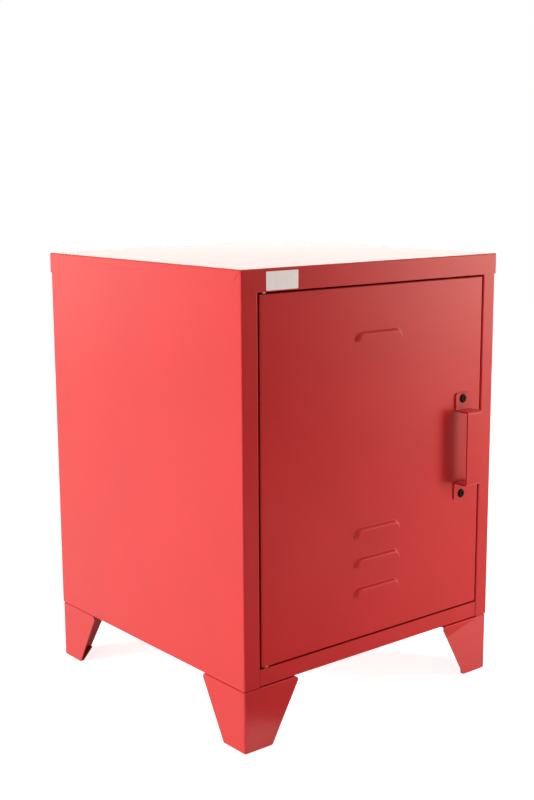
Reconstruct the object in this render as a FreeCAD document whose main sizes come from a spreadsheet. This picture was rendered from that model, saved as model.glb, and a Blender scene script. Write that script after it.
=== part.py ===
import FreeCAD, Part
import Sketcher
import math
import os
from types import SimpleNamespace

# A steel bedside cabinet: a folded sheet body with one louvred door, on four tapered legs.
# X runs to the right as seen from the front, Y from front to back and Z up, in millimetres.
# The origin lies on the floor, in the middle of the box that holds the cabinet and its handle.

doc = FreeCAD.newDocument("MetalCabinet")
cells = doc.addObject("Spreadsheet::Sheet", "Sizes")

SIZES = (
    ("width", 400, "lid, left to right"),
    ("depth", 396, "faces of the stiles to the back of the lid"),
    ("height", 540, "floor to top"),
    ("leg_height", 75, "floor to the underside of the body"),
    ("sheet", 0.8, "steel of the body and the door"),
    ("bend", 1, "inside radius of every fold in sheet"),
    ("seam", 0.2, "gap where two sheets lie side by side"),
    ("lid_flange", 25, "lid, turned down all round"),
    ("lid_proud", 1.2, "header, in front of the stiles"),
    ("lip", 18, "header and rail, turned in above and below the door"),
    ("mitre_run", 12, "slanting corner joint on the lid's sides"),
    ("mitre_groove", 0.4, "width and depth of that joint's line"),
    ("stile", 20.5, "face of the frame to the right of the door"),
    ("hinge_stile", 22.5, "face of the frame to the left of the door"),
    ("jamb", 30, "stiles, turned in beside the door"),
    ("rail", 20, "face of the frame below the door"),
    ("rail_set_back", 0.8, "rail, behind the faces of the stiles"),
    ("rear_flange", 15, "side panels, turned in behind the back panel"),
    ("door_gap", 2, "between the door and its frame"),
    ("hinge_gap", 2.8, "the same gap beside the hinges"),
    ("door_depth", 16, "door, front face to the back of its lips"),
    ("door_lip", 16, "lips turned in round the back of the door"),
    ("louvre_length", 75, "end to end"),
    ("louvre_height", 11.5, "open lower edge to the top of the hood"),
    ("louvre_rise", 4, "flat of the hood, out from the door's face"),
    ("louvre_band", 5, "shoulder between the door and the flat"),
    ("louvre_root", 1.8, "outside radius where the hood leaves the door"),
    ("louvre_pitch", 36.2, "lower louvres, one to the next"),
    ("louvre_low", 51, "door's lower edge to the lowest louvre"),
    ("louvre_high", 62.5, "upper louvre's open edge below the door's top"),
    ("hinge_inset", 8.4, "door's left edge to the hinge line"),
    ("hinge_set_back", 5, "door's face to the hinge line"),
    ("pin_radius", 2, "hinge pins"),
    ("pin_head", 3.6, "radius of the pins' riveted heads"),
    ("pin_head_height", 1.2, "riveted heads"),
    ("pin_reach", 8, "pin past the door's edge"),
    ("running", 0.05, "radial play of pins and screws in their holes"),
    ("bush_wall", 0.5, "hinge bush round the pin"),
    ("bush_flange", 3.1, "radius of the bush's flange"),
    ("bush_brim", 0.2, "flange of the upper bush, which carries no weight"),
    ("bush_length", 5, "bush inside the door"),
    ("handle_length", 134, "tab end to tab end"),
    ("handle_raised", 93, "outside of the raised part"),
    ("handle_width", 24, "strap, left to right"),
    ("handle_sheet", 2, "steel of the handle"),
    ("handle_bend", 1.5, "inside radius of the handle's folds"),
    ("handle_reach", 22, "handle, out from the door's face"),
    ("handle_inset", 33.1, "handle's middle to the door's right edge"),
    ("handle_round", 3, "corners of the tabs"),
    ("screw_spacing", 120, "handle screws"),
    ("screw_radius", 2.5, "handle screws"),
    ("screw_head", 5.5, "radius of the screw heads"),
    ("screw_head_height", 2, "domed heads"),
    ("recess_span", 5.6, "cross recess, tip to tip"),
    ("recess_width", 1.2, "arms of the cross"),
    ("recess_depth", 1.3, "cross recess"),
    ("nut_across", 8, "handle nuts, across the flats"),
    ("nut_height", 4, "handle nuts"),
    ("thread_end", 1.5, "screw past its nut"),
    ("stop_width", 18, "door stop, into the opening"),
    ("catch_flange", 7, "radius of the magnet holder's flange"),
    ("catch_flange_height", 1.2, "that flange, in front of the stop"),
    ("catch_gap", 0.3, "closed door to the catch"),
    ("catch_radius", 5, "magnet holder behind the flange"),
    ("catch_length", 8, "magnet holder, behind its flange"),
    ("magnet_radius", 4, "round magnets"),
    ("magnet_height", 6, "round magnets"),
    ("catch_spacing", 260, "upper catch to lower catch"),
    ("shelf_height", 235, "underside of the body to the shelf's rails"),
    ("shelf_lip", 20, "shelf, turned down at the front and the back"),
    ("shelf_set_back", 42, "cabinet's face to the shelf"),
    ("shelf_play", 0.5, "shelf to the walls round it"),
    ("rail_leg", 15, "each leg of the shelf rails"),
    ("rail_clear", 3, "rail ends to the shelf's lips"),
    ("rivet_radius", 2, "blind rivets"),
    ("rivet_head", 4, "radius of the rivet heads"),
    ("rivet_head_height", 0.9, "domed heads"),
    ("rivet_tail", 3, "rivet past the back panel"),
    ("rivet_margin", 40, "first and last rivet to the ends of the frame"),
    ("leg_top", 80.5, "each face of a leg at the top"),
    ("leg_foot", 39, "each face of a leg at the floor"),
    ("leg_sheet", 1.5, "steel of the legs"),
    ("leg_inset", 0.5, "body's faces to the legs' faces"),
    ("leg_round", 4, "corners of a leg's slanting edges"),
    ("leg_crease", 0.3, "inner radius where a leg folds into its plates"),
    ("leg_gap", 1.2, "legs' faces to the underside of the body"),
    ("seat_radius", 9.5, "seats raised over that gap, round the leg bolts"),
    ("foot_slant", 34, "foot plate's free corner, cut off slantwise"),
    ("glide_height", 0.6, "pads under the legs"),
    ("glide_inset", 14, "pads' middles to the legs' outer faces"),
    ("glide_radius", 11, "round pads"),
    ("bolt_near", 22, "leg bolts to the nearer outer face of the leg"),
    ("bolt_far", 54, "leg bolts to the other outer face of the leg"),
    ("bolt_radius", 3, "leg bolts"),
    ("bolt_head", 6, "radius of the bolt heads"),
    ("bolt_head_height", 3.3, "domed heads"),
    ("bolt_nut_across", 10, "leg nuts, across the flats"),
    ("bolt_nut_height", 5, "leg nuts"),
)

LOWER_LOUVRES = 3
RIVETS_PER_SIDE = 4


class Length:
    """A length: its value now, and the expression that ties it to the sheet."""

    def __init__(self, value, text):
        self.value = value
        self.text = text

    def __add__(self, other):
        other = as_length(other)
        return Length(self.value + other.value, f"({self.text} + {other.text})")

    def __sub__(self, other):
        other = as_length(other)
        return Length(self.value - other.value, f"({self.text} - {other.text})")

    def __mul__(self, other):
        other = as_length(other)
        return Length(self.value * other.value, f"({self.text} * {other.text})")

    def __truediv__(self, other):
        other = as_length(other)
        return Length(self.value / other.value, f"({self.text} / {other.text})")

    def __neg__(self):
        return Length(-self.value, f"(-1 * {self.text})")


def as_length(number):
    """A plain number as a length of its own."""
    return number if isinstance(number, Length) else Length(float(number), f"({number})")


def root_of(square):
    """The square root of a squared length."""
    return Length(math.sqrt(square.value), f"sqrt({square.text})")


for row, (name, number, note) in enumerate(SIZES, 1):
    cells.set(f"A{row}", name)
    cells.set(f"B{row}", str(number))
    cells.setAlias(f"B{row}", name)
    cells.set(f"C{row}", note)
doc.recompute()
s = SimpleNamespace(**{name: Length(float(cells.get(name)), f"Sizes.{name}") for name, _, _ in SIZES})

ZERO = as_length(0)
BEYOND = as_length(5)
TOUCH = 1e-3
DIAGONAL = math.sqrt(1 / 2)
HEXAGON_FLAT = math.sqrt(3) / 2

# Planes that several pieces share.
fold = s.bend + s.sheet
front = (s.handle_reach - s.depth) / 2
back = (s.handle_reach + s.depth) / 2
base = s.leg_height
body_half = s.width / 2 - s.sheet - s.seam
inner_half = body_half - s.sheet
rear = back - s.sheet - s.seam
back_face = rear - s.sheet
# The side walls stand up inside the lid, a seam clear of its bends.
bend_room = root_of(s.bend * s.bend - (s.bend - s.seam) * (s.bend - s.seam))
wall_top = s.height - fold + bend_room - s.seam
# The doorway, the door in it and what is set out from them.
open_left = s.hinge_stile - body_half
open_right = body_half - s.stile
open_bottom = base + s.rail
open_top = s.height - s.lid_flange
header_face = front - s.lid_proud
rail_face = front + s.rail_set_back
door_left = open_left + s.hinge_gap
door_right = open_right - s.door_gap
door_centre = (door_left + door_right) / 2
door_bottom = open_bottom + s.door_gap
door_top = open_top - s.door_gap
door_middle = (door_bottom + door_top) / 2
door_back = front + s.door_depth
hinge_x = door_left + s.hinge_inset
hinge_y = front + s.hinge_set_back
bush_bore = s.pin_radius + s.running
bush_radius = bush_bore + s.bush_wall
handle_x = door_right - s.handle_inset
stop_face = door_back + s.catch_gap + s.catch_flange_height
catch_x = open_right - s.stop_width / 2
shelf_z = base + s.shelf_height
leg_corner = body_half - s.leg_inset
leg_front = front + s.leg_inset
leg_roof = base - s.leg_gap
body_middle = (front + rear) / 2

pieces = []
cuts = []


def new_body(label):
    """A body for one piece."""
    return doc.addObject("PartDesign::Body", label)


def finished(piece):
    """Note a piece that is written out under its label."""
    pieces.append(piece)
    return piece


def minus(length, sign):
    """The length itself, or its negative."""
    return length if sign > 0 else -length


def rectangle(x0, y0, x1, y1, radius=None):
    """Corners of an upright rectangle, all with one radius where it is given."""
    corners = [(x0, y0), (x1, y0), (x1, y1), (x0, y1)]
    return [corner + (radius,) for corner in corners] if radius else corners


def heading(start, end):
    """Which way an upright or level run goes, as a pair of -1, 0 or 1."""
    run = (end[0].value - start[0].value, end[1].value - start[1].value)
    return tuple(0 if abs(step) < TOUCH else int(math.copysign(1, step)) for step in run)


def moved(point, way, distance):
    """The point moved along a way given as a pair of -1, 0 or 1."""
    return tuple(minus(distance, step) + place if step else place for place, step in zip(point, way))


def rounded(corners):
    """Outline points for square corners, with a quarter arc at each corner that has a radius."""
    points = []
    count = len(corners)
    for index, corner in enumerate(corners):
        if len(corner) == 2:
            points.append(corner)
            continue
        place, radius = corner[:2], corner[2]
        way_in = heading(corners[index - 1], place)
        way_out = heading(place, corners[(index + 1) % count])
        turn = way_in[0] * way_out[1] - way_in[1] * way_out[0]
        points.append(moved(place, way_in, -radius) + (radius, turn))
        points.append(moved(place, way_out, radius))
    return points


def folded(path, thickness, bend):
    """Outline of folded sheet. The path runs along its right face, with the steel on the left."""
    ways = [heading(start, end) for start, end in zip(path, path[1:])]
    lefts = [(-way[1], way[0]) for way in ways]
    right_face = [path[0]]
    left_face = [moved(path[0], lefts[0], thickness)]
    for index in range(1, len(path) - 1):
        way_in, way_out = ways[index - 1], ways[index]
        left_turn = way_in[0] * way_out[1] - way_in[1] * way_out[0] > 0
        inside, outside = bend, bend + thickness
        other = moved(moved(path[index], lefts[index - 1], thickness), lefts[index], thickness)
        right_face.append(path[index] + (outside if left_turn else inside,))
        left_face.append(other + (inside if left_turn else outside,))
    right_face.append(path[-1])
    left_face.append(moved(path[-1], lefts[-1], thickness))
    return rounded(right_face + left_face[::-1])


def arc_through(start, end, radius, turn):
    """The shorter arc between two points, turning left for +1 and right for -1."""
    chord = end - start
    middle = (start + end) / 2
    left = FreeCAD.Vector(-chord.y, chord.x, 0).normalize()
    rise = math.sqrt(max(radius ** 2 - (chord.Length / 2) ** 2, 0))
    centre = middle + left * rise * turn
    angles = [math.atan2(point.y - centre.y, point.x - centre.x) for point in (start, end)]
    first, last = angles if turn > 0 else angles[::-1]
    circle = Part.Circle(centre, FreeCAD.Vector(0, 0, 1), radius)
    return Part.ArcOfCircle(circle, first, last)


def tie(sketch, geometry, vertex, point):
    """Tie one vertex to the sheet by its distances from the sketch's origin."""
    for kind, length in zip(("DistanceX", "DistanceY"), point):
        rule = Sketcher.Constraint(kind, -1, 1, geometry, vertex, length.value)
        number = sketch.addConstraint(rule)
        sketch.setExpression(f"Constraints[{number}]", length.text)


def draw_outline(sketch, points):
    """One closed outline. A point with a radius and a turn starts an arc to the next point."""
    count = len(points)
    places = [FreeCAD.Vector(point[0].value, point[1].value, 0) for point in points]
    ends = []
    for index, point in enumerate(points):
        start, end = places[index], places[(index + 1) % count]
        if len(point) == 2:
            geometry = sketch.addGeometry(Part.LineSegment(start, end), False)
            ends.append((geometry, 1, 2))
            continue
        radius, turn = point[2], point[3]
        geometry = sketch.addGeometry(arc_through(start, end, radius.value, turn), False)
        ends.append((geometry, 1, 2) if turn > 0 else (geometry, 2, 1))
        number = sketch.addConstraint(Sketcher.Constraint("Radius", geometry, radius.value))
        sketch.setExpression(f"Constraints[{number}]", radius.text)
    for index, (geometry, first, last) in enumerate(ends):
        following = ends[(index + 1) % count]
        joint = Sketcher.Constraint("Coincident", geometry, last, following[0], following[1])
        sketch.addConstraint(joint)
        tie(sketch, geometry, first, points[index])


def new_sketch(body, name, plane, at, shift=(ZERO, ZERO)):
    """An empty sketch on a plane of the body's own frame, moved to its place along the axes."""
    sketch = body.newObject("Sketcher::SketchObject", name)
    role = f"{plane}_Plane"
    origin_plane = next(item for item in body.Origin.OriginFeatures if item.Role == role)
    sketch.AttachmentSupport = [(origin_plane, "")]
    sketch.MapMode = "FlatFace"
    depth = -at if plane == "XZ" else at
    for axis, length in zip("xyz", (shift[0], shift[1], depth)):
        sketch.setExpression(f"AttachmentOffset.Base.{axis}", length.text)
    return sketch


def outline(body, name, plane, at, *loops, shift=(ZERO, ZERO)):
    """A sketch of closed outlines."""
    sketch = new_sketch(body, name, plane, at, shift)
    for points in loops:
        draw_outline(sketch, points)
    return sketch


def circles(body, name, plane, at, places, radius):
    """A sketch of equal circles."""
    sketch = new_sketch(body, name, plane, at)
    for place in places:
        centre = FreeCAD.Vector(place[0].value, place[1].value, 0)
        circle = Part.Circle(centre, FreeCAD.Vector(0, 0, 1), radius.value)
        geometry = sketch.addGeometry(circle, False)
        number = sketch.addConstraint(Sketcher.Constraint("Radius", geometry, radius.value))
        sketch.setExpression(f"Constraints[{number}]", radius.text)
        tie(sketch, geometry, 3, place)
    return sketch


def faces_against(sketch, along):
    """True where the sketch's plane faces against the wanted way along its axis."""
    facing = -1 if sketch.AttachmentSupport[0][0].Role == "XZ_Plane" else 1
    return facing * along < 0


def pad(body, name, sketch, length, along=1):
    """Sheet or block grown from a sketch, up or down its axis, or both ways for 0."""
    feature = body.newObject("PartDesign::Pad", name)
    feature.Profile = sketch
    feature.setExpression("Length", length.text)
    if along:
        feature.Reversed = faces_against(sketch, along)
    else:
        feature.Midplane = True
    doc.recompute()
    return feature


def block(body, name, low, high):
    """A plain block between two corners, to be folded or hollowed."""
    plan = outline(body, f"{name}Plan", "XY", low[2], rectangle(low[0], low[1], high[0], high[1]))
    return pad(body, name, plan, high[2] - low[2])


def pocket(body, name, sketch, length, along):
    """A cut from a sketch, to a depth up or down its axis."""
    feature = body.newObject("PartDesign::Pocket", name)
    feature.Profile = sketch
    feature.setExpression("Length", length.text)
    feature.Reversed = not faces_against(sketch, along)
    doc.recompute()
    cuts.append(feature)
    return feature


def turned(body, name, sketch, axis, angle=360, backwards=False):
    """A solid turned from a sketch about one of the sketch's own axes."""
    feature = body.newObject("PartDesign::Revolution", name)
    feature.Profile = sketch
    feature.ReferenceAxis = (sketch, [axis])
    feature.Angle = angle
    feature.Reversed = backwards
    doc.recompute()
    return feature


def edges_where(shape, test):
    """Names of the edges whose bounding box passes the test."""
    return [f"Edge{index}" for index, edge in enumerate(shape.Edges, 1) if test(edge.BoundBox)]


def faces_where(shape, test):
    """Names of the faces whose bounding box passes the test."""
    return [f"Face{index}" for index, face in enumerate(shape.Faces, 1) if test(face.BoundBox)]


def near(value, length):
    """True where a coordinate lies on a plane."""
    return abs(value - length.value) < TOUCH


def fillet(body, name, feature, test, radius):
    """Rounded edges, chosen by their place."""
    rounding = body.newObject("PartDesign::Fillet", name)
    rounding.Base = (feature, edges_where(feature.Shape, test))
    rounding.setExpression("Radius", radius.text)
    doc.recompute()
    return rounding


def shell(body, name, feature, test, thickness):
    """The block hollowed to sheet, open at the chosen faces."""
    hollow = body.newObject("PartDesign::Thickness", name)
    hollow.Base = (feature, faces_where(feature.Shape, test))
    hollow.setExpression("Value", thickness.text)
    hollow.Reversed = True
    doc.recompute()
    return hollow


def mirrored(label, piece, normal, place=ZERO):
    """The same piece made for the other hand, mirrored in an upright plane."""
    other = doc.addObject("Part::Mirroring", label)
    other.Source = piece
    other.Normal = normal
    axis = "x" if normal.x else "y"
    other.setExpression(f"Base.{axis}", place.text)
    doc.recompute()
    return finished(other)


def put(piece, place):
    """Move a piece that was made at the origin to its place."""
    for axis, length in zip("xyz", place):
        piece.setExpression(f"Placement.Base.{axis}", length.text)


def group(label, piece, places):
    """Separate copies of one small piece in one node."""
    copies = []
    for number, place in enumerate(places, 1):
        copy = doc.addObject("App::Link", f"{label}_{number}")
        copy.LinkedObject = piece
        put(copy, place)
        copies.append(copy)
    compound = doc.addObject("Part::Compound", label)
    compound.Links = copies
    return finished(compound)


def headed_pin(label, plane, side, head, head_height, radius, length, recess=False):
    """A round pin under a domed head, turned about an axis through the origin.

    The head stands on the plus or minus side of the seat at the origin. A screw's head has a
    cross recess.
    """
    body = new_body(label)
    top, end = minus(head_height, side), minus(-length, side)
    dome = min(head_height, head - radius, key=lambda length: length.value)
    corners = [(ZERO, end), (radius, end), (radius, ZERO), (head, ZERO), (head, top, dome), (ZERO, top)]
    points = rounded(corners if side > 0 else corners[::-1])
    profile = outline(body, f"{label}_profile", plane, ZERO, merged(points))
    turned(body, f"{label}_turned", profile, "V_Axis")
    if recess:
        cross = cross_outline(s.recess_span / 2, s.recess_width / 2)
        seat = "XZ" if plane == "XY" else "XY"
        sketch = outline(body, f"{label}_cross", seat, top, cross)
        pocket(body, f"{label}_recess", sketch, s.recess_depth, -side)
    return body


def merged(points):
    """Outline points without the doubles that a full quarter arc leaves at a corner."""
    kept = []
    for index, point in enumerate(points):
        following = points[(index + 1) % len(points)]
        gap = [abs(here.value - there.value) for here, there in zip(point[:2], following[:2])]
        if len(point) > 2 or max(gap) > TOUCH:
            kept.append(point)
    return kept


def cross_outline(reach, half):
    """A plain cross with square ends."""
    return [
        (-half, -reach), (half, -reach), (half, -half), (reach, -half),
        (reach, half), (half, half), (half, reach), (-half, reach),
        (-half, half), (-reach, half), (-reach, -half), (-half, -half),
    ]


def hex_nut(label, plane, across, height, bore):
    """A hexagon nut with a plain bore, its seat at the origin."""
    body = new_body(label)
    reach = across / 2 / HEXAGON_FLAT
    flat = across / 2
    points = [
        (reach, ZERO), (reach / 2, flat), (-reach / 2, flat),
        (-reach, ZERO), (-reach / 2, -flat), (reach / 2, -flat),
    ]
    plan = outline(body, f"{label}_plan", plane, ZERO, points)
    pad(body, f"{label}_block", plan, height, 1)
    hole = circles(body, f"{label}_circle", plane, ZERO, [(ZERO, ZERO)], bore)
    pocket(body, f"{label}_bore", hole, height, 1)
    return body


SIDEWAYS = FreeCAD.Vector(1, 0, 0)
LENGTHWAYS = FreeCAD.Vector(0, 1, 0)


def rivet_rows():
    """Heights of the blind rivets, evenly spaced up the frame."""
    pitch = (open_top - base - s.rivet_margin * 2) / (RIVETS_PER_SIDE - 1)
    return [base + s.rivet_margin + pitch * row for row in range(RIVETS_PER_SIDE)]


def leg_bolt_places(sides=(-1, 1), ends=(-1, 1)):
    """Plan places of the leg bolts, two to a leg."""
    near_x, far_x = leg_corner - s.bolt_near, leg_corner - s.bolt_far
    half = body_middle - leg_front
    near_y, far_y = half - s.bolt_near, half - s.bolt_far
    places = []
    for side in sides:
        for end in ends:
            for x, y in ((near_x, far_y), (far_x, near_y)):
                places.append((minus(x, side), body_middle + minus(y, end)))
    return places


def side_panel(label, stile):
    """Side wall, stile, jamb and rear flange, folded from one sheet for the left-hand side."""
    body = new_body(label)
    edge = stile - body_half
    path = [
        (s.rear_flange - body_half, rear),
        (-body_half, rear),
        (-body_half, front),
        (edge, front),
        (edge, front + s.jamb),
    ]
    plan = outline(body, f"{label}_plan", "XY", base, folded(path, s.sheet, s.bend))
    pad(body, f"{label}_sheet", plan, wall_top - base)
    header_back = front + fold + s.seam
    notch = [
        (-body_half - BEYOND, front - BEYOND),
        (edge + BEYOND, front - BEYOND),
        (edge + BEYOND, front + s.jamb + BEYOND),
        (-inner_half, front + s.jamb + BEYOND),
        (-inner_half, header_back),
        (-body_half - BEYOND, header_back),
    ]
    cut = outline(body, f"{label}_notch_plan", "XY", open_top - s.seam, notch)
    pocket(body, f"{label}_header_notch", cut, s.lid_flange + s.seam, 1)
    places = [(s.rear_flange / 2 - body_half, height) for height in rivet_rows()]
    holes = circles(body, f"{label}_circles", "XZ", rear, places, s.rivet_radius + s.running)
    pocket(body, f"{label}_rivet_holes", holes, s.sheet * 2, -1)
    return body


def make_side_panels():
    """Both side panels. They differ in the width of their stiles, and the right one is mirrored."""
    finished(side_panel("left_side_panel", s.hinge_stile))
    mirrored("right_side_panel", side_panel("right_side_blank", s.stile), SIDEWAYS)


def make_top_lid():
    """Lid turned down all round; its front is the header, with a lip that holds the upper pin."""
    body = new_body("top_lid")
    half = s.width / 2
    solid = block(body, "LidBlock", (-half, header_face, open_top), (half, back, s.height))
    bends = fillet(body, "LidBends", solid, lambda box: box.ZMax > open_top.value + 1, fold)
    shell(body, "LidPan", bends, lambda box: near(box.ZMax, open_top), s.sheet)
    lip_half = inner_half - s.seam
    lip_plan = rectangle(-lip_half, header_face + s.sheet / 2, lip_half, front + s.lip)
    lip = outline(body, "HeaderLipPlan", "XY", open_top, lip_plan)
    pad(body, "HeaderLip", lip, s.sheet)
    hole = circles(body, "UpperPinCircle", "XY", open_top, [(hinge_x, hinge_y)], s.pin_radius + s.running)
    pocket(body, "UpperPinHole", hole, s.sheet * 2, 1)
    aside = s.mitre_groove * DIAGONAL / 2
    start = (header_face - BEYOND, s.height + BEYOND)
    end = (header_face + s.mitre_run, s.height - s.mitre_run)
    line = [
        (start[0] - aside, start[1] - aside), (end[0] - aside, end[1] - aside),
        (end[0] + aside, end[1] + aside), (start[0] + aside, start[1] + aside),
    ]
    for name, side in (("Left", -1), ("Right", 1)):
        joint = outline(body, f"{name}MitreLine", "YZ", minus(half, side), line)
        pocket(body, f"{name}Mitre", joint, s.mitre_groove, -side)
    finished(body)


def make_floor_panel():
    """Floor pan, notched round the jambs; its front wall is the rail, with a lip for the lower pin."""
    body = new_body("floor_panel")
    rail_left, rail_right = open_left + s.seam, open_right - s.seam
    pan_half = inner_half - s.seam
    notch_back = front + s.jamb + s.seam
    pan_back = back_face - s.sheet - s.seam
    corners = [
        (rail_left, rail_face),
        (rail_right, rail_face),
        (rail_right, notch_back),
        (pan_half, notch_back),
        (pan_half, pan_back),
        (-pan_half, pan_back),
        (-pan_half, notch_back),
        (rail_left, notch_back),
    ]
    plan = outline(body, "FloorPlan", "XY", base, corners)
    solid = pad(body, "FloorBlock", plan, s.rail)
    bends = fillet(body, "FloorBends", solid, lambda box: near(box.ZMax, base), fold)
    shell(body, "FloorPan", bends, lambda box: near(box.ZMin, open_bottom), s.sheet)
    inside = s.sheet / 2
    lip_plan = rectangle(rail_left + inside, rail_face + inside, rail_right - inside, front + s.lip)
    lip = outline(body, "RailLipPlan", "XY", open_bottom - s.sheet, lip_plan)
    pad(body, "RailLip", lip, s.sheet)
    pin = [(hinge_x, hinge_y)]
    hole = circles(body, "LowerPinCircle", "XY", open_bottom, pin, s.pin_radius + s.running)
    pocket(body, "LowerPinHole", hole, s.sheet * 2, -1)
    bolts = circles(body, "BoltCircles", "XY", base, leg_bolt_places(), s.bolt_radius + s.running)
    pocket(body, "BoltHoles", bolts, s.sheet * 2, 1)
    finished(body)


def make_back_panel():
    """Flat back, riveted to the side panels' rear flanges."""
    body = new_body("back_panel")
    half = body_half - fold - s.seam
    plan = outline(body, "BackFace", "XZ", back_face, rectangle(-half, base, half, s.height - fold))
    pad(body, "BackSheet", plan, s.sheet, -1)
    rivet_x = body_half - s.rear_flange / 2
    places = [(minus(rivet_x, side), height) for side in (-1, 1) for height in rivet_rows()]
    holes = circles(body, "BackRivetCircles", "XZ", back_face, places, s.rivet_radius + s.running)
    pocket(body, "BackRivetHoles", holes, s.sheet * 2, -1)
    finished(body)
    rivet = headed_pin("blind_rivet", "XY", 1, s.rivet_head, s.rivet_head_height, s.rivet_radius,
                       s.sheet * 2 + s.rivet_tail)
    group("back_panel_rivets", rivet, [(x, rear, z) for x, z in places])


def make_hinges():
    """Two pivot pins riveted in the frame's lips, and the flanged bushes that they turn in."""
    shank = s.sheet + s.door_gap + s.pin_reach
    upper = headed_pin("upper_hinge_pin", "XZ", 1, s.pin_head, s.pin_head_height, s.pin_radius, shank)
    lower = headed_pin("lower_hinge_pin", "XZ", -1, s.pin_head, s.pin_head_height, s.pin_radius, shank)
    for pin, height in ((upper, open_top + s.sheet), (lower, open_bottom - s.sheet)):
        put(pin, (hinge_x, hinge_y, height))
        finished(pin)
    for label, side, height, flange in (
        ("upper_hinge_bush", 1, door_top, s.bush_brim),
        ("lower_hinge_bush", -1, door_bottom, s.door_gap - s.seam),
    ):
        body = new_body(label)
        top, end = minus(flange, side), minus(-s.bush_length, side)
        points = [
            (bush_bore, end), (bush_radius, end), (bush_radius, ZERO),
            (s.bush_flange, ZERO), (s.bush_flange, top), (bush_bore, top),
        ]
        profile = outline(body, f"{label}_profile", "XZ", ZERO, points if side > 0 else points[::-1])
        turned(body, f"{label}_turned", profile, "V_Axis")
        put(body, (hinge_x, hinge_y, height))
        finished(body)


def hood_section():
    """Section of a pressed louvre. The sheet leaves the door in one arc and turns into the hood's
    flat in a second, tangent to each other. Across is out of the door's face, up from the open edge."""
    rise, band, height, wall = s.louvre_rise, s.louvre_band, s.louvre_height, s.sheet
    square = rise * rise + band * band
    sine = rise * band * 2 / square
    cosine = (band * band - rise * rise) / square
    root, inner_root = s.louvre_root, s.louvre_root + wall
    shoulder = square / (rise * 2) - root
    outer_turn = (root * cosine - root, height - root * sine)
    inner_turn = (inner_root * cosine - root, height - inner_root * sine)
    return [
        (ZERO, height, root, -1),
        outer_turn + (shoulder, 1),
        (-rise, height - band),
        (-rise, ZERO),
        (wall - rise, ZERO),
        (wall - rise, height - band, shoulder - wall, -1),
        inner_turn + (inner_root, 1),
        (wall, height),
    ]


def add_louvre(body, name, edge):
    """One louvre pressed out of the door's face: slit along its lower edge, closed at both ends."""
    half = s.louvre_length / 2
    straight = half - s.louvre_height
    left, right = door_centre - straight, door_centre + straight
    footprint = [
        (door_centre - half, edge),
        (door_centre + half, edge, s.louvre_height, 1),
        (right, edge + s.louvre_height),
        (left, edge + s.louvre_height, s.louvre_height, 1),
    ]
    slit = outline(body, f"{name}_footprint", "XZ", front, merged(footprint))
    pocket(body, f"{name}_slit", slit, s.sheet * 2, 1)
    for side, place in (("right", right), ("left", left)):
        section = outline(body, f"{name}_{side}_section", "YZ", place, hood_section(), shift=(front, edge))
        if side == "right":
            pad(body, f"{name}_hood", section, straight * 2, -1)
        turned(body, f"{name}_{side}_end", section, "H_Axis", 90, side == "left")


def make_door():
    """Door pan with lips round its back, four pressed louvres and holes for bushes and handle."""
    body = new_body("door_panel")
    solid = block(body, "DoorBlock", (door_left, front, door_bottom), (door_right, door_back, door_top))
    bends = fillet(body, "DoorBends", solid, lambda box: box.YMin < door_back.value - 1, fold)
    shell(body, "DoorPan", bends, lambda box: near(box.YMin, door_back), s.sheet)
    inside = s.sheet / 2
    outer = rectangle(door_left + inside, door_bottom + inside, door_right - inside, door_top - inside)
    inner = rectangle(door_left + s.door_lip, door_bottom + s.door_lip,
                      door_right - s.door_lip, door_top - s.door_lip)
    lips = outline(body, "DoorLipFace", "XZ", door_back, outer, inner)
    pad(body, "DoorLips", lips, s.sheet, -1)
    hinge = [(hinge_x, hinge_y)]
    for name, height, along in (("Upper", door_top, -1), ("Lower", door_bottom, 1)):
        hole = circles(body, f"{name}BushCircle", "XY", height, hinge, bush_radius + s.running)
        pocket(body, f"{name}BushHole", hole, s.sheet * 2, along)
    screws = circles(body, "HandleCircles", "XZ", front, screw_places(), s.screw_radius + s.running)
    pocket(body, "HandleHoles", screws, s.sheet * 2, 1)
    lowest = door_bottom + s.louvre_low
    edges = [lowest + s.louvre_pitch * row for row in range(LOWER_LOUVRES)]
    edges.append(door_top - s.louvre_high)
    for number, edge in enumerate(edges, 1):
        add_louvre(body, f"Louvre{number}", edge)
    finished(body)


def screw_places():
    """Places of the two handle screws on the door's face."""
    return [(handle_x, door_middle + minus(s.screw_spacing / 2, side)) for side in (-1, 1)]


def make_handle():
    """Strap handle, bent like a hat and screwed on through its two tabs."""
    body = new_body("handle")
    tab, top, raised = front - s.handle_sheet, s.handle_length / 2, s.handle_raised / 2
    outside = front - s.handle_reach
    path = [
        (tab, door_middle + top),
        (tab, door_middle + raised),
        (outside, door_middle + raised),
        (outside, door_middle - raised),
        (tab, door_middle - raised),
        (tab, door_middle - top),
    ]
    section = outline(body, "StrapSection", "YZ", handle_x, folded(path, s.handle_sheet, s.handle_bend))
    strap = pad(body, "Strap", section, s.handle_width, 0)
    ends = (door_middle - top, door_middle + top)

    def is_tab_corner(box):
        return box.XLength < TOUCH and box.ZLength < TOUCH and any(near(box.ZMin, end) for end in ends)

    fillet(body, "TabCorners", strap, is_tab_corner, s.handle_round)
    holes = circles(body, "TabCircles", "XZ", tab, screw_places(), s.screw_radius + s.running)
    pocket(body, "TabHoles", holes, s.handle_sheet, 1)
    finished(body)
    grip = s.handle_sheet + s.sheet
    screw = headed_pin("handle_screw", "XY", -1, s.screw_head, s.screw_head_height, s.screw_radius,
                       grip + s.nut_height + s.thread_end, recess=True)
    group("handle_screws", screw, [(x, tab, z) for x, z in screw_places()])
    nut = hex_nut("handle_nut", "XZ", s.nut_across, s.nut_height, s.screw_radius + s.running)
    group("handle_nuts", nut, [(x, front + s.sheet, z) for x, z in screw_places()])


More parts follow.
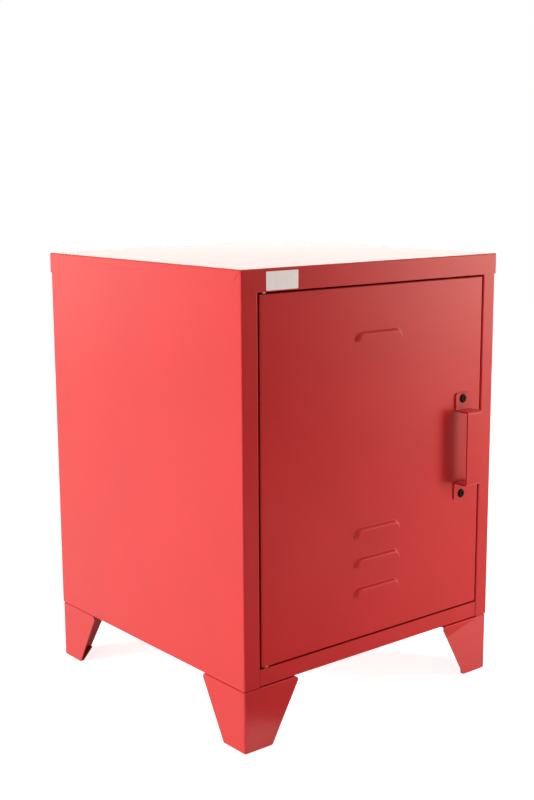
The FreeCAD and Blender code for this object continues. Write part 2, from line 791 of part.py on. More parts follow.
def catch_heights():
    """Heights of the two magnetic catches."""
    return [door_middle + minus(s.catch_spacing / 2, side) for side in (-1, 1)]


def make_catches():
    """Stop strip on the right jamb, with two magnets in flanged holders that draw the door shut."""
    body = new_body("door_stop")
    path = [
        (open_right - s.stop_width, stop_face),
        (open_right, stop_face),
        (open_right, front + s.jamb),
    ]
    plan = outline(body, "StopPlan", "XY", door_bottom, folded(path, s.sheet, s.bend))
    pad(body, "StopSheet", plan, door_top - door_bottom)
    places = [(catch_x, height) for height in catch_heights()]
    holes = circles(body, "CatchCircles", "XZ", stop_face, places, s.catch_radius + s.running)
    pocket(body, "CatchHoles", holes, s.sheet * 2, 1)
    finished(body)
    holder = new_body("magnet_holder")
    bore = s.magnet_radius + s.running
    lip, seat = -s.catch_flange_height, s.magnet_height - s.catch_flange_height
    points = [
        (ZERO, seat), (bore, seat), (bore, lip), (s.catch_flange, lip), (s.catch_flange, ZERO),
        (s.catch_radius, ZERO), (s.catch_radius, s.catch_length), (ZERO, s.catch_length),
    ]
    profile = outline(holder, "HolderProfile", "XY", ZERO, points)
    turned(holder, "HolderTurned", profile, "V_Axis")
    seats = [(catch_x, stop_face, height) for height in catch_heights()]
    group("magnet_holders", holder, seats)
    magnet = new_body("round_magnet")
    disc = circles(magnet, "MagnetCircle", "XZ", -s.catch_flange_height, [(ZERO, ZERO)], s.magnet_radius)
    pad(magnet, "MagnetDisc", disc, s.magnet_height, 1)
    group("catch_magnets", magnet, seats)


def make_shelf():
    """Loose shelf, turned down at the front and the back, on two angle rails."""
    shelf_front = front + s.shelf_set_back
    shelf_back = back_face - s.sheet - s.shelf_play
    rail = new_body("left_shelf_rail")
    path = [
        (s.rail_leg - inner_half, shelf_z),
        (-inner_half, shelf_z),
        (-inner_half, shelf_z - s.rail_leg),
    ]
    start = shelf_front + s.sheet + s.rail_clear
    section = outline(rail, "RailSection", "XZ", start, folded(path, s.sheet, s.bend))
    pad(rail, "RailSheet", section, shelf_back - s.sheet - s.rail_clear - start, 1)
    finished(rail)
    mirrored("right_shelf_rail", rail, SIDEWAYS)
    shelf = new_body("shelf")
    top = shelf_z + s.sheet
    path = [
        (shelf_back, top - s.shelf_lip),
        (shelf_back, top),
        (shelf_front, top),
        (shelf_front, top - s.shelf_lip),
    ]
    section = outline(shelf, "ShelfSection", "YZ", ZERO, folded(path, s.sheet, s.bend))
    pad(shelf, "ShelfSheet", section, (inner_half - s.shelf_play) * 2, 0)
    finished(shelf)


def leg_waste():
    """What is cut from beside a leg's slanting edge, whose two corners are rounded. It is measured
    from the leg's outer lower corner, across and up."""
    run, rise, radius = s.leg_top - s.leg_foot, leg_roof - s.glide_height, s.leg_round
    slope = root_of(run * run + rise * rise)
    along, up = run / slope, rise / slope
    foot_cut = radius * (slope - run) / rise
    top_cut = radius * (slope + run) / rise
    outside = s.leg_top + BEYOND
    return [
        (s.leg_foot - foot_cut, ZERO, radius, 1),
        (s.leg_foot + foot_cut * along, foot_cut * up),
        (s.leg_top - top_cut * along, rise - top_cut * up, radius, 1),
        (s.leg_top - top_cut, rise),
        (s.leg_top - top_cut, rise + BEYOND),
        (outside, rise + BEYOND),
        (outside, -BEYOND),
        (s.leg_foot - foot_cut, -BEYOND),
    ]


def make_legs():
    """Four tapered angle legs with a plate at each end, bolted to the floor on raised seats. Each
    stands on a thin round pad."""
    body = new_body("front_left_leg")
    low = (-leg_corner, leg_front, s.glide_height)
    solid = block(body, "LegBlock", low, (s.leg_top - leg_corner, leg_front + s.leg_top, leg_roof))

    def is_outer_edge(box):
        return near(box.XMax, -leg_corner) or near(box.YMax, leg_front)

    def is_corner(box):
        return near(box.XMax, -leg_corner) and near(box.YMax, leg_front)

    def is_crease(box):
        return is_outer_edge(box) and box.ZLength < TOUCH

    corner_bend = fillet(body, "LegCorner", solid, is_corner, s.bend + s.leg_sheet)
    bends = fillet(body, "LegCreases", corner_bend, is_crease, s.leg_crease + s.leg_sheet)

    def is_open_side(box):
        return near(box.XMin, low[0] + s.leg_top) or near(box.YMin, low[1] + s.leg_top)

    shell(body, "LegSheet", bends, is_open_side, s.leg_sheet)
    front_waste = outline(body, "LegFrontWaste", "XZ", leg_front, leg_waste(), shift=(low[0], low[2]))
    pocket(body, "LegFrontTaper", front_waste, s.leg_top, 1)
    side_waste = outline(body, "LegSideWaste", "YZ", low[0], leg_waste(), shift=(low[1], low[2]))
    pocket(body, "LegSideTaper", side_waste, s.leg_top, 1)
    reach = s.leg_foot * 2 - s.foot_slant
    corner = [(reach, ZERO), (reach, reach), (ZERO, reach)]
    foot_waste = outline(body, "FootWaste", "XY", s.glide_height, corner, shift=(low[0], low[1]))
    pocket(body, "FootSlant", foot_waste, s.leg_sheet, 1)
    places = leg_bolt_places((-1,), (-1,))
    seats = circles(body, "SeatCircles", "XY", leg_roof, places, s.seat_radius)
    pad(body, "Seats", seats, s.leg_gap)
    hollows = circles(body, "HollowCircles", "XY", leg_roof - s.leg_sheet, places, s.seat_radius - s.leg_sheet)
    pocket(body, "SeatHollows", hollows, s.leg_gap, 1)
    holes = circles(body, "LegBoltCircles", "XY", base, places, s.bolt_radius + s.running)
    pocket(body, "LegBoltHoles", holes, s.leg_sheet * 2, -1)
    finished(body)
    front_right = mirrored("front_right_leg", body, SIDEWAYS)
    mirrored("rear_left_leg", body, LENGTHWAYS, body_middle)
    mirrored("rear_right_leg", front_right, LENGTHWAYS, body_middle)
    pad_body = new_body("front_left_glide")
    middle = [(s.glide_inset - leg_corner, leg_front + s.glide_inset)]
    disc = circles(pad_body, "GlideCircle", "XY", ZERO, middle, s.glide_radius)
    pad(pad_body, "GlidePad", disc, s.glide_height)
    finished(pad_body)
    front_right = mirrored("front_right_glide", pad_body, SIDEWAYS)
    mirrored("rear_left_glide", pad_body, LENGTHWAYS, body_middle)
    mirrored("rear_right_glide", front_right, LENGTHWAYS, body_middle)
    grip = s.sheet + s.leg_sheet
    bolt = headed_pin("leg_bolt", "XZ", 1, s.bolt_head, s.bolt_head_height, s.bolt_radius,
                      grip + s.bolt_nut_height + s.thread_end, recess=True)
    group("leg_bolts", bolt, [(x, y, base + s.sheet) for x, y in leg_bolt_places()])
    nut = hex_nut("leg_nut", "XY", s.bolt_nut_across, s.bolt_nut_height, s.bolt_radius + s.running)
    under = base - s.leg_sheet - s.bolt_nut_height
    group("leg_nuts", nut, [(x, y, under) for x, y in leg_bolt_places()])


def check_and_write():
    """Stop at anything that failed or cut nothing, then write each piece to a file of its own."""
    doc.recompute()
    for item in doc.Objects:
        if "Invalid" in item.State or "Error" in item.State:
            raise RuntimeError(f"{item.Label} failed: {item.State}")
    for cut in cuts:
        if cut.Shape.Volume > cut.BaseFeature.Shape.Volume - TOUCH:
            raise RuntimeError(f"{cut.Label} cuts nothing")
    for piece in pieces:
        if piece.Shape.isNull() or not piece.Shape.isValid():
            raise RuntimeError(f"{piece.Label} has no valid shape")
    os.makedirs("parts", exist_ok=True)
    for piece in pieces:
        piece.Shape.exportStep(f"parts/{piece.Label}.step")
        print(piece.Label, len(piece.Shape.Solids), round(piece.Shape.Volume, 1))


make_side_panels()
make_top_lid()
make_floor_panel()
make_back_panel()
make_hinges()
make_door()
make_handle()
make_catches()
make_shelf()
make_legs()
check_and_write()
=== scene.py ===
import bpy
import math
from mathutils import Matrix, Vector


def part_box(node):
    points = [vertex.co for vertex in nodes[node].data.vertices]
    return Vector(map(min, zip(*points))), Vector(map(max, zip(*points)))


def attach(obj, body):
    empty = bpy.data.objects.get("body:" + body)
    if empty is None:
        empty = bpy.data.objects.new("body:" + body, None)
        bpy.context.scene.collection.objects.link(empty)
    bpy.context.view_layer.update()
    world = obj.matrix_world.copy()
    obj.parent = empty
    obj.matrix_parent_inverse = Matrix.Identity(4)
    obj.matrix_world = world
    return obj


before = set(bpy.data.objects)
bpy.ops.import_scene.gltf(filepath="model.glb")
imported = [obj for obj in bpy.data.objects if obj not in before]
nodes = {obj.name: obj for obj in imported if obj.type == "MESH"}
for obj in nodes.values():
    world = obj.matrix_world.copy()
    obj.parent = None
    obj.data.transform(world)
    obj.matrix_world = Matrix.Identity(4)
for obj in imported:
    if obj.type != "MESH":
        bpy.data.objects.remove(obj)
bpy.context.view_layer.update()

# Side panels.
# Each is one steel sheet, folded into the side wall, the stile beside the door, the jamb and a rear
# flange. After welding, the body is cleaned and coated in red powder, which melts to a fine peel.

POWDER_RED = (0.45, 0.013, 0.016, 1)
POWDER_TONES = (0.96, 1.03)
POWDER_ROUGHNESS = (0.28, 0.36)
POWDER_SPECULAR = 0.42
PEEL_CELL = 0.0016
PEEL_DETAIL = 1.5
PEEL_STRENGTH = 0.5
PEEL_DEPTH = 0.00005
SPECK_CELL = 0.0005
SPECK_DETAIL = 2
SPECK_SHARE = 0.3
CLOUD_CELL = 0.09
CLOUD_DETAIL = 4
NOISE_SPAN = (0.3, 0.7)


def link(tree, source, target):
    """Join an output socket to an input socket."""
    tree.links.new(source, target)


def calculate(tree, operation, first, second):
    """One step of arithmetic on two sockets or numbers."""
    step = tree.nodes.new("ShaderNodeMath")
    step.operation = operation
    for socket, value in zip(step.inputs, (first, second)):
        if isinstance(value, bpy.types.NodeSocket):
            link(tree, value, socket)
        else:
            socket.default_value = value
    return step.outputs["Value"]


def new_group(name, inputs, outputs):
    """An empty shader node group with number sockets, and its two end nodes."""
    group = bpy.data.node_groups.new(name, "ShaderNodeTree")
    group.interface.new_socket("Vector", in_out="INPUT", socket_type="NodeSocketVector")
    for label, value in inputs:
        socket = group.interface.new_socket(label, in_out="INPUT", socket_type="NodeSocketFloat")
        socket.default_value = value
    for label in outputs:
        group.interface.new_socket(label, in_out="OUTPUT", socket_type="NodeSocketFloat")
    return group, group.nodes.new("NodeGroupInput"), group.nodes.new("NodeGroupOutput")


def scaled_noise(group, vector, scale, detail):
    """A noise texture inside a group, its scale taken from a group input."""
    texture = group.nodes.new("ShaderNodeTexNoise")
    texture.inputs["Detail"].default_value = detail
    link(group, vector, texture.inputs["Vector"])
    link(group, scale, texture.inputs["Scale"])
    return texture.outputs["Fac"]


def powder_surface_group():
    """Peel and specks of melted powder as a height, and faint clouds where the coat is thicker."""
    inputs = (("Peel Scale", 1 / PEEL_CELL), ("Speck Scale", 1 / SPECK_CELL),
              ("Cloud Scale", 1 / CLOUD_CELL), ("Speck Share", SPECK_SHARE))
    group, start, end = new_group("powder_surface", inputs, ("Height", "Clouds", "Specks"))
    vector = start.outputs["Vector"]
    peel = scaled_noise(group, vector, start.outputs["Peel Scale"], PEEL_DETAIL)
    specks = scaled_noise(group, vector, start.outputs["Speck Scale"], SPECK_DETAIL)
    clouds = scaled_noise(group, vector, start.outputs["Cloud Scale"], CLOUD_DETAIL)
    share = calculate(group, "MULTIPLY", specks, start.outputs["Speck Share"])
    link(group, calculate(group, "ADD", peel, share), end.inputs["Height"])
    link(group, clouds, end.inputs["Clouds"])
    link(group, specks, end.inputs["Specks"])
    return group


powder_surface = powder_surface_group()


def new_material(name):
    """A material with a Principled shader and the object's own coordinates."""
    material = bpy.data.materials.new(name)
    material.use_nodes = True
    tree = material.node_tree
    coordinates = tree.nodes.new("ShaderNodeTexCoord")
    return material, tree, tree.nodes["Principled BSDF"], coordinates.outputs["Object"]


def use_group(tree, group, vector, **values):
    """A group placed in a material with its own values."""
    node = tree.nodes.new("ShaderNodeGroup")
    node.node_tree = group
    link(tree, vector, node.inputs["Vector"])
    for label, value in values.items():
        node.inputs[label.replace("_", " ")].default_value = value
    return node


def ranged(tree, value, low, high, span=NOISE_SPAN):
    """Spread a value that runs over a span between two other numbers."""
    start, stop = span
    spread = tree.nodes.new("ShaderNodeMapRange")
    link(tree, value, spread.inputs["Value"])
    for label, number in (("From Min", start), ("From Max", stop), ("To Min", low), ("To Max", high)):
        spread.inputs[label].default_value = number
    return spread.outputs["Result"]


def tinted(tree, factor, first, second):
    """A colour between two colours."""
    mix = tree.nodes.new("ShaderNodeMix")
    mix.data_type = "RGBA"
    link(tree, factor, mix.inputs["Factor"])
    mix.inputs["A"].default_value = first
    mix.inputs["B"].default_value = second
    return mix.outputs["Result"]


def drifting_colour(tree, shader, noise, first, second):
    """Base colour that drifts between two colours."""
    link(tree, tinted(tree, ranged(tree, noise, 0, 1), first, second), shader.inputs["Base Color"])


def drifting_roughness(tree, shader, noise, limits):
    """Roughness that drifts between two limits."""
    link(tree, ranged(tree, noise, *limits), shader.inputs["Roughness"])


def raised(tree, shader, height, strength, distance):
    """Bump from a height, in metres, on a shader's normal."""
    bump = tree.nodes.new("ShaderNodeBump")
    bump.inputs["Strength"].default_value = strength
    bump.inputs["Distance"].default_value = distance
    link(tree, height, bump.inputs["Height"])
    link(tree, bump.outputs["Normal"], shader.inputs["Normal"])


def shade(colour, factor):
    """The colour made lighter or darker."""
    return tuple(channel * factor for channel in colour[:3]) + (1,)


def powder_coat(name, colour, peel=PEEL_CELL, depth=PEEL_DEPTH):
    """Semi-matt powder coat: a fine peel, specks, and a tone that drifts a little over a panel."""
    material, tree, shader, vector = new_material(name)
    surface = use_group(tree, powder_surface, vector, Peel_Scale=1 / peel, Speck_Scale=1 / SPECK_CELL,
                        Cloud_Scale=1 / CLOUD_CELL)
    tones = (shade(colour, tone) for tone in POWDER_TONES)
    drifting_colour(tree, shader, surface.outputs["Clouds"], *tones)
    drifting_roughness(tree, shader, surface.outputs["Specks"], POWDER_ROUGHNESS)
    shader.inputs["Specular IOR Level"].default_value = POWDER_SPECULAR
    raised(tree, shader, surface.outputs["Height"], PEEL_STRENGTH, depth)
    return material


def finish_nodes(material, *names):
    """Give CAD nodes their material."""
    for name in names:
        nodes[name].material_slots[0].material = material


body_paint = powder_coat("body_powder_coat", POWDER_RED)
finish_nodes(body_paint, "left_side_panel", "right_side_panel")

# Top lid.
# A shallow pan of the same sheet, turned down all round. Its front flange is the header over the
# door, and a mitred corner joint shows on both side flanges.

finish_nodes(body_paint, "top_lid")

# Header plate.
# A thin plate of white painted aluminium, left blank, stuck on the header at its left end. Its edge
# is rounded over, its corners are slightly rounded and its face is sunk inside a narrow border.

PLATE_LEFT = -0.1663
PLATE_WIDTH = 0.0443
PLATE_HEIGHT = 0.0202
PLATE_BELOW_TOP = 0.0136
PLATE_THICKNESS = 0.0006
PLATE_CORNER = 0.0009
PLATE_CORNER_STEPS = 6
PLATE_EDGE = 0.0002
PLATE_EDGE_STEPS = 3
PLATE_BORDER = 0.0006
PLATE_SUNK = 0.0001
SMOOTH_ANGLE = math.radians(30)
FACING_FRONT = -0.99
NEAR = 1e-6
ENAMEL_WHITES = ((0.80, 0.74, 0.76, 1), (0.85, 0.80, 0.82, 1))
ENAMEL_ROUGHNESS = (0.28, 0.4)
ENAMEL_PEEL = 0.0009
ENAMEL_SPECK = 0.0003
ENAMEL_CLOUD = 0.012
ENAMEL_STRENGTH = 0.3
ENAMEL_DEPTH = 0.00002

lid_low, lid_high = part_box("top_lid")
plate_size = Vector((PLATE_WIDTH, PLATE_THICKNESS, PLATE_HEIGHT))
header_middle = lid_high.z - PLATE_BELOW_TOP
plate_middle = Vector((PLATE_LEFT + PLATE_WIDTH / 2, lid_low.y - PLATE_THICKNESS / 2, header_middle))
plate_front = plate_middle.y - PLATE_THICKNESS / 2


def select_faces(mesh, test):
    """In edit mode, select the faces whose centre and normal pass a test."""
    bpy.ops.mesh.select_mode(type="FACE")
    bpy.ops.mesh.select_all(action="DESELECT")
    bpy.ops.object.mode_set(mode="OBJECT")
    for face in mesh.polygons:
        face.select = test(face.center, face.normal)
    bpy.ops.object.mode_set(mode="EDIT")


def select_edges(mesh, test):
    """In edit mode, select the edges whose two ends pass a test."""
    bpy.ops.mesh.select_mode(type="EDGE")
    bpy.ops.mesh.select_all(action="DESELECT")
    bpy.ops.object.mode_set(mode="OBJECT")
    for edge in mesh.edges:
        edge.select = test(*(mesh.vertices[index].co for index in edge.vertices))
    bpy.ops.object.mode_set(mode="EDIT")


bpy.ops.object.select_all(action="DESELECT")
bpy.ops.mesh.primitive_cube_add(size=1, location=plate_middle)
plate = bpy.context.object
plate.name = "header_plate"
plate.scale = plate_size
bpy.ops.object.transform_apply(location=True, rotation=False, scale=True)
bpy.ops.object.mode_set(mode="EDIT")
select_edges(plate.data, lambda a, b: abs(a.y - b.y) > PLATE_THICKNESS / 2)
bpy.ops.mesh.bevel(offset=PLATE_CORNER, segments=PLATE_CORNER_STEPS, affect="EDGES")
select_edges(plate.data, lambda a, b: max(a.y, b.y) < plate_front + NEAR)
bpy.ops.mesh.bevel(offset=PLATE_EDGE, segments=PLATE_EDGE_STEPS, affect="EDGES")
select_faces(plate.data, lambda centre, normal: normal.y < FACING_FRONT and centre.y < plate_front + NEAR)
bpy.ops.mesh.inset(thickness=PLATE_BORDER)
bpy.ops.mesh.inset(thickness=PLATE_SUNK)
bpy.ops.transform.translate(value=(0, PLATE_SUNK, 0))
bpy.ops.object.mode_set(mode="OBJECT")
bpy.ops.object.shade_smooth_by_angle(angle=SMOOTH_ANGLE)


def baked_enamel(name):
    """Warm white baked enamel on aluminium, faintly uneven."""
    material, tree, shader, vector = new_material(name)
    surface = use_group(tree, powder_surface, vector, Peel_Scale=1 / ENAMEL_PEEL,
                        Speck_Scale=1 / ENAMEL_SPECK, Cloud_Scale=1 / ENAMEL_CLOUD)
    drifting_colour(tree, shader, surface.outputs["Clouds"], *ENAMEL_WHITES)
    drifting_roughness(tree, shader, surface.outputs["Specks"], ENAMEL_ROUGHNESS)
    raised(tree, shader, surface.outputs["Height"], ENAMEL_STRENGTH, ENAMEL_DEPTH)
    return material


plate.data.materials.append(baked_enamel("plate_enamel"))
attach(plate, "carcass")

# Floor panel.
# A pan notched round the jambs. Its front wall is the rail under the door, and its lip carries the
# lower hinge pin.

finish_nodes(body_paint, "floor_panel")

# Back panel and its rivets.
# A flat sheet fixed inside the side panels' rear flanges by eight blind rivets. It is coated after
# riveting, so the domed heads are red too.

RIVET_TONE = 0.95
RIVET_PEEL = 0.0009
RIVET_DEPTH = 0.00003

rivet_paint = powder_coat("rivet_powder_coat", shade(POWDER_RED, RIVET_TONE), RIVET_PEEL, RIVET_DEPTH)
finish_nodes(body_paint, "back_panel")
finish_nodes(rivet_paint, "back_panel_rivets")

# Door stop and magnetic catches.
# An angle strip welded to the right jamb stops the door. Two white plastic holders snap into it and
# hold round nickel plated magnets.

GRAIN_DETAIL = 2
PATCH_DETAIL = 3
MOULD_TONES = (0.9, 1.06)
MOULD_GRAIN = 0.0004
MOULD_PATCH = 0.006
MOULD_STRENGTH = 0.4
MOULD_DEPTH = 0.00002
METAL_TONES = (0.86, 1.05)
METAL_GRAIN = 0.00025
METAL_PATCH = 0.004
METAL_STRENGTH = 0.25
METAL_DEPTH = 0.00001


def grain_group():
    """Fine grain of a moulded or plated surface, with larger soft patches."""
    inputs = (("Grain Scale", 1 / MOULD_GRAIN), ("Patch Scale", 1 / MOULD_PATCH))
    group, start, end = new_group("fine_grain", inputs, ("Grain", "Patches"))
    vector = start.outputs["Vector"]
    grain = scaled_noise(group, vector, start.outputs["Grain Scale"], GRAIN_DETAIL)
    patches = scaled_noise(group, vector, start.outputs["Patch Scale"], PATCH_DETAIL)
    link(group, grain, end.inputs["Grain"])
    link(group, patches, end.inputs["Patches"])
    return group


fine_grain = grain_group()


def moulded_plastic(name, colour, roughness, grain=MOULD_GRAIN):
    """Injection moulded plastic with a fine grain."""
    material, tree, shader, vector = new_material(name)
    surface = use_group(tree, fine_grain, vector, Grain_Scale=1 / grain, Patch_Scale=1 / MOULD_PATCH)
    tones = (shade(colour, tone) for tone in MOULD_TONES)
    drifting_colour(tree, shader, surface.outputs["Patches"], *tones)
    drifting_roughness(tree, shader, surface.outputs["Grain"], roughness)
    raised(tree, shader, surface.outputs["Grain"], MOULD_STRENGTH, MOULD_DEPTH)
    return material


def plated_metal(name, colour, roughness):
    """Plated or turned metal whose gloss drifts in soft patches."""
    material, tree, shader, vector = new_material(name)
    surface = use_group(tree, fine_grain, vector, Grain_Scale=1 / METAL_GRAIN, Patch_Scale=1 / METAL_PATCH)
    tones = (shade(colour, tone) for tone in METAL_TONES)
    drifting_colour(tree, shader, surface.outputs["Patches"], *tones)
    drifting_roughness(tree, shader, surface.outputs["Patches"], roughness)
    shader.inputs["Metallic"].default_value = 1
    raised(tree, shader, surface.outputs["Grain"], METAL_STRENGTH, METAL_DEPTH)
    return material


holder_plastic = moulded_plastic("holder_plastic", colour=(0.78, 0.78, 0.75, 1), roughness=(0.35, 0.5))
nickel = plated_metal("nickel_plate", colour=(0.62, 0.59, 0.54, 1), roughness=(0.12, 0.24))
finish_nodes(body_paint, "door_stop")
finish_nodes(holder_plastic, "magnet_holders")
finish_nodes(nickel, "catch_magnets")

# Shelf and its rails.
# A loose shelf turned down at the front and the back rests on two angle rails that are welded to the
# side walls.

finish_nodes(body_paint, "left_shelf_rail", "right_shelf_rail", "shelf")

# Hinge pins and bushes.
# Turned steel pins, riveted into the lips above and below the door, run in flanged nylon bushes that
# are pressed into the door.

pin_steel = plated_metal("turned_steel", colour=(0.56, 0.56, 0.57, 1), roughness=(0.25, 0.4))
# The bush colour is darker and browner than white nylon: painted shade and red bounce light of the gaps
# round the door.
bush_nylon = moulded_plastic("bush_nylon", colour=(0.50, 0.36, 0.20, 1), roughness=(0.4, 0.55))
finish_nodes(pin_steel, "upper_hinge_pin", "lower_hinge_pin")
finish_nodes(bush_nylon, "upper_hinge_bush", "lower_hinge_bush")

# Door.
# A pan of sheet with lips round its back and four louvres pressed out of its face. It hangs flush
# between the stiles and is coated as the body.

finish_nodes(body_paint, "door_panel")

# Handle with its screws and nuts.
# A steel strap bent like a hat, coated red, held by two black cross recess screws with zinc plated
# nuts behind the door.

OXIDE_BLACKS = ((0.002, 0.002, 0.002, 1), (0.006, 0.005, 0.004, 1))
OXIDE_ROUGHNESS = (0.3, 0.45)
OXIDE_SPECULAR = 0.12
OXIDE_GRAIN = 0.0003
OXIDE_PATCH = 0.002
OXIDE_STRENGTH = 0.3


def blackened_steel(name):
    """Blackened steel with an oily gloss."""
    material, tree, shader, vector = new_material(name)
    surface = use_group(tree, fine_grain, vector, Grain_Scale=1 / OXIDE_GRAIN, Patch_Scale=1 / OXIDE_PATCH)
    drifting_colour(tree, shader, surface.outputs["Patches"], *OXIDE_BLACKS)
    drifting_roughness(tree, shader, surface.outputs["Patches"], OXIDE_ROUGHNESS)
    shader.inputs["Specular IOR Level"].default_value = OXIDE_SPECULAR
    raised(tree, shader, surface.outputs["Grain"], OXIDE_STRENGTH, METAL_DEPTH)
    return material


zinc = plated_metal("zinc_plate", colour=(0.60, 0.61, 0.60, 1), roughness=(0.24, 0.42))
finish_nodes(body_paint, "handle")
finish_nodes(blackened_steel("black_oxide"), "handle_screws")
finish_nodes(zinc, "handle_nuts")

# Legs with their pads, bolts and nuts.
# Tapered angles of thicker sheet with a plate at each end, coated red, bolted up to the floor panel on
# raised seats. Thin round pads of dark plastic are stuck under them.

CORNERS = ("front_left", "front_right", "rear_left", "rear_right")

pad_plastic = moulded_plastic("pad_plastic", colour=(0.03, 0.03, 0.032, 1), roughness=(0.5, 0.7),
                              grain=0.0007)
finish_nodes(body_paint, *(f"{corner}_leg" for corner in CORNERS))
finish_nodes(pad_plastic, *(f"{corner}_glide" for corner in CORNERS))
finish_nodes(zinc, "leg_bolts", "leg_nuts")

# Studio floor.
# A wide matt floor without a visible edge. It is lifted to white where the camera or a mirror sees it,
# and it keeps the cabinet's shadow.

FLOOR_RADIUS = 2.6
FLOOR_SIDES = 96
FLOOR_DROP = 0.0002
FLOOR_GREY = (0.75, 0.75, 0.75, 1)
FLOOR_ROUGHNESS = 0.9
FLOOR_LIFT = 0.8
ROOM_WHITE = (1, 1, 1, 1)
ROOM_WARM = (1, 0.94, 0.8, 1)

bpy.ops.object.select_all(action="DESELECT")
bpy.ops.mesh.primitive_circle_add(vertices=FLOOR_SIDES, radius=FLOOR_RADIUS, fill_type="NGON",
                                  location=(0, 0, -FLOOR_DROP))
floor = bpy.context.object
floor.name = "studio_floor"
bpy.ops.object.transform_apply(location=True, rotation=False, scale=True)


def seen_directly(tree):
    """One for rays from the camera, mirrors and glass, and zero for the rest."""
    path = tree.nodes.new("ShaderNodeLightPath")
    seen = calculate(tree, "MAXIMUM", path.outputs["Is Camera Ray"], path.outputs["Is Glossy Ray"])
    return calculate(tree, "MAXIMUM", seen, path.outputs["Is Transmission Ray"])


def room_colour(tree):
    """Plain white where the camera looks, and a warmer white in the gloss of the paint."""
    path = tree.nodes.new("ShaderNodeLightPath")
    return tinted(tree, path.outputs["Is Camera Ray"], ROOM_WARM, ROOM_WHITE)


def make_matt(shader, colour, roughness):
    """A plain colour without any gloss."""
    shader.inputs["Base Color"].default_value = colour
    shader.inputs["Roughness"].default_value = roughness
    shader.inputs["Specular IOR Level"].default_value = 0


def floor_paint(name):
    """Matt grey floor, lifted to white where it is looked at."""
    material, tree, shader, _ = new_material(name)
    make_matt(shader, FLOOR_GREY, FLOOR_ROUGHNESS)
    link(tree, room_colour(tree), shader.inputs["Emission Color"])
    lift = calculate(tree, "MULTIPLY", seen_directly(tree), FLOOR_LIFT)
    link(tree, lift, shader.inputs["Emission Strength"])
    return material


floor.data.materials.append(floor_paint("studio_white"))

# Studio light.
# A white room with soft lights at the left, overhead, at the right and low in front, and lit backdrops.
# A wall at the right and a fading card in front show only in the gloss, to haze one side of the door.

AMBIENT = 0.08
SOFT_WARM = (1, 0.97, 0.93)
STRIP_WARM = (1, 0.93, 0.82)
CARD_SIZE = (1.3, 2.1)
CARD_MIDDLE = (0.2, -1.16, 0.45)
CARD_TILT = math.radians(25)
CARD_TURN = math.radians(215)
CARD_BLACK = (0, 0, 0, 1)
CARD_PALE = 1
CARD_DARK = 0.05
CARD_FADE = (-0.15, 0.25)
CARD_SLANT = 0.3

world = bpy.data.worlds.new("studio_room")
world.use_nodes = True
bpy.context.scene.world = world
room = world.node_tree
background = room.nodes["Background"]
link(room, room_colour(room), background.inputs["Color"])
link(room, ranged(room, seen_directly(room), AMBIENT, 1, span=(0, 1)), background.inputs["Strength"])


def soft_light(name, place, target, size, power, colour, lights=True, mirrored=False):
    """A rectangular soft light that faces a target. It lights surfaces, shows in their gloss, or both."""
    lamp = bpy.data.lights.new(name, "AREA")
    lamp.shape = "RECTANGLE"
    lamp.size, lamp.size_y = size
    lamp.energy = power
    lamp.color = colour
    light = bpy.data.objects.new(name, lamp)
    way = Vector(target) - Vector(place)
    light.matrix_world = Matrix.Translation(place) @ way.to_track_quat("-Z", "Y").to_matrix().to_4x4()
    light.visible_camera = False
    light.visible_diffuse = lights
    light.visible_glossy = mirrored
    bpy.context.scene.collection.objects.link(light)


soft_light("left_soft_light", place=(-3.0, 0.8, 0.8), target=(-0.2, 0, 0.35), size=(1.8, 1.3),
           power=128, colour=SOFT_WARM)
soft_light("left_front_light", place=(-1.5, -0.45, 0.4), target=(0, -0.2, 0.35), size=(0.4, 0.5),
           power=5, colour=SOFT_WARM)
soft_light("overhead_light", place=(0.2, -0.42, 2.2), target=(0, -0.1, 0.5), size=(1.2, 1.0),
           power=16, colour=SOFT_WARM)
soft_light("right_strip_light", place=(0.75, -0.79, 0.42), target=(0.15, -0.19, 0.32), size=(0.25, 0.7),
           power=6.9, colour=STRIP_WARM)
soft_light("low_front_light", place=(0.1, -0.6, 0.08), target=(0, -0.19, 0.15), size=(0.6, 0.12),
           power=0.68, colour=STRIP_WARM)
soft_light("right_wall_light", place=(2.9, -1.75, 0.65), target=(0.1, -0.2, 0.4), size=(1.3, 1.1),
           power=29, colour=(1, 0.98, 0.84), lights=False, mirrored=True)
soft_light("right_backdrop_light", place=(2.6, 3.0, 0.75), target=(0, 0, 0.5), size=(4.0, 1.0),
           power=47, colour=(0.92, 1, 1), mirrored=True)
soft_light("left_backdrop_light", place=(-1.6, 3.0, 0.6), target=(-0.2, 0, 0.4), size=(1.8, 1.2),
           power=10, colour=(0.9, 1, 0.95), mirrored=True)

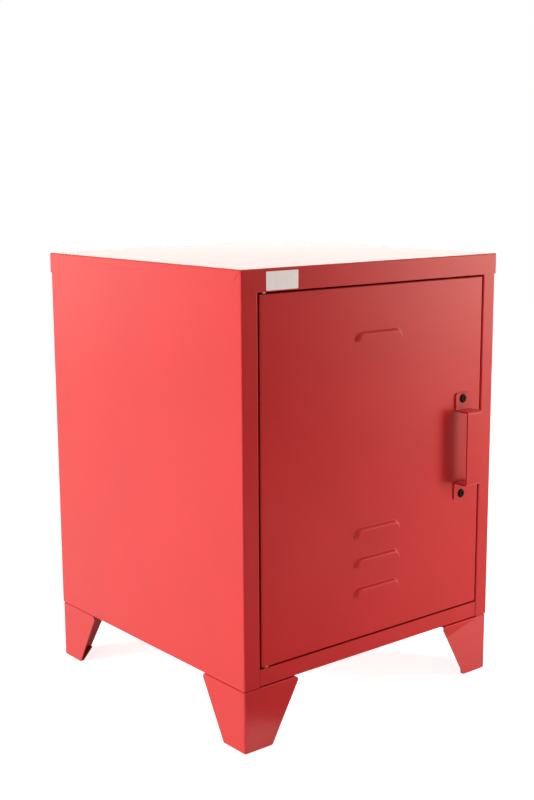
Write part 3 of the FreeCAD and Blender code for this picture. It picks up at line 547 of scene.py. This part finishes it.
bpy.ops.object.select_all(action="DESELECT")
bpy.ops.mesh.primitive_plane_add(size=1, location=CARD_MIDDLE, rotation=(CARD_TILT, 0, CARD_TURN))
card = bpy.context.object
card.name = "grey_card"
card.scale = (*CARD_SIZE, 1)
bpy.ops.object.transform_apply(location=True, rotation=True, scale=True)


def fading_board(name):
    """Board that fades from pale at its right edge to dark at its left edge and its top."""
    material, tree, shader, vector = new_material(name)
    make_matt(shader, CARD_BLACK, roughness=1)
    across = tree.nodes.new("ShaderNodeVectorMath")
    across.operation = "DOT_PRODUCT"
    link(tree, vector, across.inputs[0])
    across.inputs[1].default_value = (math.cos(CARD_TURN), math.sin(CARD_TURN), CARD_SLANT)
    glow = ranged(tree, across.outputs["Value"], CARD_PALE, CARD_DARK, CARD_FADE)
    link(tree, glow, shader.inputs["Emission Strength"])
    shader.inputs["Emission Color"].default_value = ROOM_WARM
    return material


card.data.materials.append(fading_board("card_grey"))
card.visible_camera = False
card.visible_diffuse = False
card.visible_shadow = False

# Camera.
# Where the photographer stood: in front and to the left, a little above the top. The place, the turn
# and the lens were solved together from the corners in the photograph.

CAMERA_PLACE = Vector((-1.0, -1.2169, 0.639))
CAMERA_YAW = math.radians(39.037)
CAMERA_PITCH = math.radians(10.263)
CAMERA_ROLL = math.radians(-0.305)
CAMERA_LENS = 56.518
CAMERA_SENSOR = 36

ahead = Vector((math.sin(CAMERA_YAW) * math.cos(CAMERA_PITCH),
                math.cos(CAMERA_YAW) * math.cos(CAMERA_PITCH), -math.sin(CAMERA_PITCH)))
level = Vector((math.cos(CAMERA_YAW), -math.sin(CAMERA_YAW), 0))
above = level.cross(ahead)
right = level * math.cos(CAMERA_ROLL) + above * math.sin(CAMERA_ROLL)
upward = above * math.cos(CAMERA_ROLL) - level * math.sin(CAMERA_ROLL)
lens = bpy.data.cameras.new("photo_camera")
lens.sensor_fit = "VERTICAL"
lens.sensor_height = CAMERA_SENSOR
lens.lens = CAMERA_LENS
camera = bpy.data.objects.new("photo_camera", lens)
turn = Matrix((right, upward, -ahead)).transposed().to_4x4()
camera.matrix_world = Matrix.Translation(CAMERA_PLACE) @ turn
bpy.context.scene.collection.objects.link(camera)
bpy.context.scene.camera = camera
bpy.context.scene.view_settings.view_transform = "Standard"
